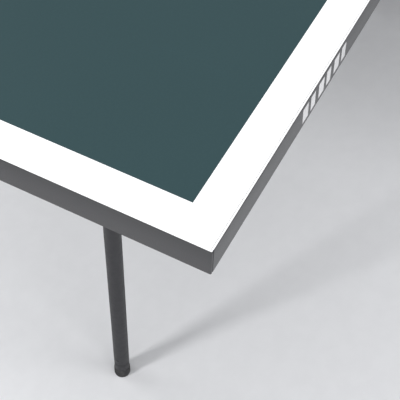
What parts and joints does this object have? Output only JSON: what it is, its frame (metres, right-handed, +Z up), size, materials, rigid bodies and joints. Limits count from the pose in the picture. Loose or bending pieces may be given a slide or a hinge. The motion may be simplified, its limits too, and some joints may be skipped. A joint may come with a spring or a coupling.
{
  "type": "ping pong table",
  "caption": "Full-size folding table tennis table on a wheeled centre trolley, with slim tube legs, levelling feet and a net.",
  "frame": {"origin": "on the floor, under the middle of the net", "axes": "+X along the table's length towards half a, +Y across the table towards side l, +Z up"},
  "size_m": [2.74, 1.853, 0.9183],
  "materials": {
    "board": "matte grey-green table tennis paint on fibreboard",
    "edge_band": "dark grey edge banding",
    "frame_paint": "dark grey powder coat",
    "leg_paint": "dark grey powder coat",
    "zinc_steel": "bright zinc plate",
    "foot_rubber": "black moulded rubber",
    "clamp_plastic": "black moulded plastic",
    "wheel_plastic": "dark grey moulded wheel",
    "red_plastic": "red moulded plastic",
    "net_cloth": "dark polyester mesh",
    "net_cord": "white braided cord"
  },
  "bodies": {
    "trolley": {"side_frame_l": "frame_paint", "side_frame_r": "frame_paint", "cross_tube_a": "frame_paint", "cross_tube_b": "frame_paint", "net_bow_l": "frame_paint", "net_bow_r": "frame_paint", "half_bolt_al": "zinc_steel", "half_bolt_ar": "zinc_steel", "half_bolt_bl": "zinc_steel", "half_bolt_br": "zinc_steel", "net_post_l": "frame_paint", "net_post_r": "frame_paint", "net": "net_cloth", "net_cord": "net_cord"},
    "half_a": {"board_a": "board", "edge_band_a": "edge_band", "apron_a": "frame_paint", "hinge_rail_al": "frame_paint", "hinge_rail_ar": "frame_paint", "cross_rail_a": "frame_paint", "leg_bolt_al": "zinc_steel", "leg_bolt_ar": "zinc_steel"},
    "legs_a": {"leg_frame_a": "leg_paint"},
    "links_a": {"link_rod_al": "zinc_steel", "link_rod_ar": "zinc_steel"},
    "half_b": {"board_b": "board", "edge_band_b": "edge_band", "apron_b": "frame_paint", "hinge_rail_bl": "frame_paint", "hinge_rail_br": "frame_paint", "cross_rail_b": "frame_paint", "leg_bolt_bl": "zinc_steel", "leg_bolt_br": "zinc_steel"},
    "legs_b": {"leg_frame_b": "leg_paint"},
    "links_b": {"link_rod_bl": "zinc_steel", "link_rod_br": "zinc_steel"},
    "foot_al": {"foot_al": "foot_rubber"},
    "caster_al": {"caster_fork_al": "zinc_steel", "axle_al": "zinc_steel"},
    "wheel_al": {"wheel_al": "wheel_plastic"},
    "brake_al": {"brake_lever_al": "red_plastic"},
    "foot_ar": {"foot_ar": "foot_rubber"},
    "caster_ar": {"caster_fork_ar": "zinc_steel", "axle_ar": "zinc_steel"},
    "wheel_ar": {"wheel_ar": "wheel_plastic"},
    "brake_ar": {"brake_lever_ar": "red_plastic"},
    "foot_bl": {"foot_bl": "foot_rubber"},
    "caster_bl": {"caster_fork_bl": "zinc_steel", "axle_bl": "zinc_steel"},
    "wheel_bl": {"wheel_bl": "wheel_plastic"},
    "brake_bl": {"brake_lever_bl": "red_plastic"},
    "foot_br": {"foot_br": "foot_rubber"},
    "caster_br": {"caster_fork_br": "zinc_steel", "axle_br": "zinc_steel"},
    "wheel_br": {"wheel_br": "wheel_plastic"},
    "brake_br": {"brake_lever_br": "red_plastic"},
    "lock_a": {"lock_knob_a": "red_plastic"},
    "lock_b": {"lock_knob_b": "red_plastic"},
    "clamp_l": {"clamp_screw_l": "clamp_plastic"},
    "clamp_r": {"clamp_screw_r": "clamp_plastic"}
  },
  "joints": [
    {"name": "half_a_fold", "type": "hinge", "parent": "trolley", "child": "half_a", "pos_m": [0.35, 0, 0.722], "axis": [0, -1, 0], "range_deg": [0, 84]},
    {"name": "legs_a_swing", "type": "hinge", "parent": "half_a", "child": "legs_a", "pos_m": [1.102, 0, 0.69], "axis": [0, 1, 0], "range_deg": [0, 84]},
    {"name": "links_a_swing", "type": "hinge", "parent": "trolley", "child": "links_a", "pos_m": [0.35, 0, 0.472], "axis": [0, -1, 0], "range_deg": [0, 84]},
    {"name": "half_b_fold", "type": "hinge", "parent": "trolley", "child": "half_b", "pos_m": [-0.35, 0, 0.722], "axis": [0, 1, 0], "range_deg": [0, 84]},
    {"name": "legs_b_swing", "type": "hinge", "parent": "half_b", "child": "legs_b", "pos_m": [-1.102, 0, 0.69], "axis": [0, -1, 0], "range_deg": [0, 84]},
    {"name": "links_b_swing", "type": "hinge", "parent": "trolley", "child": "links_b", "pos_m": [-0.35, 0, 0.472], "axis": [0, 1, 0], "range_deg": [0, 84]},
    {"name": "foot_al_screw", "type": "slide", "parent": "legs_a", "child": "foot_al", "axis": [0, 0, -1], "range_m": [0, 0.015]},
    {"name": "caster_al_swivel", "type": "hinge", "parent": "trolley", "child": "caster_al", "pos_m": [0.35, 0.5325, 0.13], "axis": [0, 0, 1], "continuous": true},
    {"name": "wheel_al_roll", "type": "hinge", "parent": "caster_al", "child": "wheel_al", "pos_m": [0.315, 0.5325, 0.05], "axis": [0, 1, 0], "continuous": true},
    {"name": "brake_al_press", "type": "hinge", "parent": "caster_al", "child": "brake_al", "pos_m": [0.29, 0.5325, 0.105], "axis": [0, -1, 0], "range_deg": [0, 30]},
    {"name": "foot_ar_screw", "type": "slide", "parent": "legs_a", "child": "foot_ar", "axis": [0, 0, -1], "range_m": [0, 0.015]},
    {"name": "caster_ar_swivel", "type": "hinge", "parent": "trolley", "child": "caster_ar", "pos_m": [0.35, -0.5325, 0.13], "axis": [0, 0, 1], "continuous": true},
    {"name": "wheel_ar_roll", "type": "hinge", "parent": "caster_ar", "child": "wheel_ar", "pos_m": [0.315, -0.5325, 0.05], "axis": [0, 1, 0], "continuous": true},
    {"name": "brake_ar_press", "type": "hinge", "parent": "caster_ar", "child": "brake_ar", "pos_m": [0.29, -0.5325, 0.105], "axis": [0, -1, 0], "range_deg": [0, 30]},
    {"name": "foot_bl_screw", "type": "slide", "parent": "legs_b", "child": "foot_bl", "axis": [0, 0, -1], "range_m": [0, 0.015]},
    {"name": "caster_bl_swivel", "type": "hinge", "parent": "trolley", "child": "caster_bl", "pos_m": [-0.35, 0.5325, 0.13], "axis": [0, 0, 1], "continuous": true},
    {"name": "wheel_bl_roll", "type": "hinge", "parent": "caster_bl", "child": "wheel_bl", "pos_m": [-0.315, 0.5325, 0.05], "axis": [0, 1, 0], "continuous": true},
    {"name": "brake_bl_press", "type": "hinge", "parent": "caster_bl", "child": "brake_bl", "pos_m": [-0.29, 0.5325, 0.105], "axis": [0, 1, 0], "range_deg": [0, 30]},
    {"name": "foot_br_screw", "type": "slide", "parent": "legs_b", "child": "foot_br", "axis": [0, 0, -1], "range_m": [0, 0.015]},
    {"name": "caster_br_swivel", "type": "hinge", "parent": "trolley", "child": "caster_br", "pos_m": [-0.35, -0.5325, 0.13], "axis": [0, 0, 1], "continuous": true},
    {"name": "wheel_br_roll", "type": "hinge", "parent": "caster_br", "child": "wheel_br", "pos_m": [-0.315, -0.5325, 0.05], "axis": [0, 1, 0], "continuous": true},
    {"name": "brake_br_press", "type": "hinge", "parent": "caster_br", "child": "brake_br", "pos_m": [-0.29, -0.5325, 0.105], "axis": [0, 1, 0], "range_deg": [0, 30]},
    {"name": "lock_a_push", "type": "slide", "parent": "trolley", "child": "lock_a", "axis": [0, -1, 0], "range_m": [0, 0.0085]},
    {"name": "lock_b_push", "type": "slide", "parent": "trolley", "child": "lock_b", "axis": [0, 1, 0], "range_m": [0, 0.0085]},
    {"name": "clamp_l_turn", "type": "hinge", "parent": "trolley", "child": "clamp_l", "pos_m": [0, 0.79, 0.665], "axis": [0, 0, 1], "continuous": true},
    {"name": "clamp_r_turn", "type": "hinge", "parent": "trolley", "child": "clamp_r", "pos_m": [0, -0.79, 0.665], "axis": [0, 0, 1], "continuous": true}
  ],
  "couplings": [
    {"joint": "legs_a_swing", "follows": "half_a_fold", "ratio": 1},
    {"joint": "links_a_swing", "follows": "half_a_fold", "ratio": 1},
    {"joint": "legs_b_swing", "follows": "half_b_fold", "ratio": 1},
    {"joint": "links_b_swing", "follows": "half_b_fold", "ratio": 1}
  ]
}
